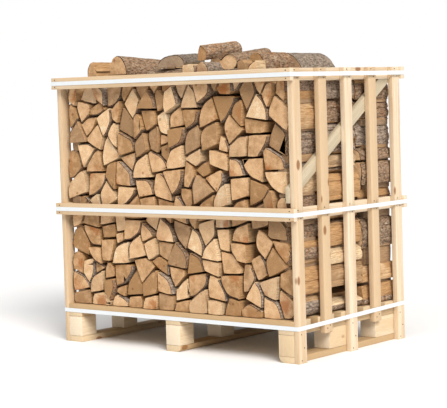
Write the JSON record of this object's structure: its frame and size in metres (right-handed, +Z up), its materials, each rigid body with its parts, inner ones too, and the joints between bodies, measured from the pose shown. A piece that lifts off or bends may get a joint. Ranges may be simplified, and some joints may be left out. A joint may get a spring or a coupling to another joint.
{
  "type": "stack of firewood logs in a pallet crate",
  "caption": "Split firewood stacked in a slatted wooden crate on a block pallet, held by plastic straps, with loose logs on top.",
  "frame": {"origin": "on the floor, under the middle of the crate's outline", "axes": "+X to the right along the wide face with the log ends, +Y from that face to the back, +Z up"},
  "size_m": [1.2426, 0.7672, 1.2251],
  "materials": {
    "sawn_pine": "rough sawn",
    "pallet_boards": "rough sawn",
    "pallet_blocks": "rough sawn",
    "split_firewood": "split and sawn, with bark",
    "strap_plastic": "satin",
    "nail_steel": "dull"
  },
  "bodies": {
    "root": {"block_left_back": "pallet_blocks", "block_left_front": "pallet_blocks", "block_left_middle": "pallet_blocks", "block_middle_back": "pallet_blocks", "block_middle_front": "pallet_blocks", "block_middle_middle": "pallet_blocks", "block_right_back": "pallet_blocks", "block_right_front": "pallet_blocks", "block_right_middle": "pallet_blocks", "brace_left": "sawn_pine", "brace_right": "sawn_pine", "deck_board_1": "pallet_boards", "deck_board_2": "pallet_boards", "deck_board_3": "pallet_boards", "deck_board_4": "pallet_boards", "deck_board_5": "pallet_boards", "log_row_back": "split_firewood", "log_row_front": "split_firewood", "log_row_middle": "split_firewood", "loose_log_1": "split_firewood", "loose_log_10": "split_firewood", "loose_log_11": "split_firewood", "loose_log_12": "split_firewood", "loose_log_13": "split_firewood", "loose_log_14": "split_firewood", "loose_log_2": "split_firewood", "loose_log_3": "split_firewood", "loose_log_4": "split_firewood", "loose_log_5": "split_firewood", "loose_log_6": "split_firewood", "loose_log_7": "split_firewood", "loose_log_8": "split_firewood", "loose_log_9": "split_firewood", "rail_back_middle": "sawn_pine", "rail_back_top": "sawn_pine", "rail_front_middle": "sawn_pine", "rail_front_top": "sawn_pine", "runner_left": "pallet_boards", "runner_middle": "pallet_boards", "runner_right": "pallet_boards", "side_rail_left_middle": "sawn_pine", "side_rail_left_top": "sawn_pine", "side_rail_right_middle": "sawn_pine", "side_rail_right_top": "sawn_pine", "slat_left_1": "sawn_pine", "slat_left_2": "sawn_pine", "slat_left_3": "sawn_pine", "slat_left_4": "sawn_pine", "slat_left_5": "sawn_pine", "slat_right_1": "sawn_pine", "slat_right_2": "sawn_pine", "slat_right_3": "sawn_pine", "slat_right_4": "sawn_pine", "slat_right_5": "sawn_pine", "strap_low": "strap_plastic", "strap_middle": "strap_plastic", "strap_top": "strap_plastic", "stringer_left": "pallet_boards", "stringer_middle": "pallet_boards", "stringer_right": "pallet_boards"}
  },
  "joints": []
}
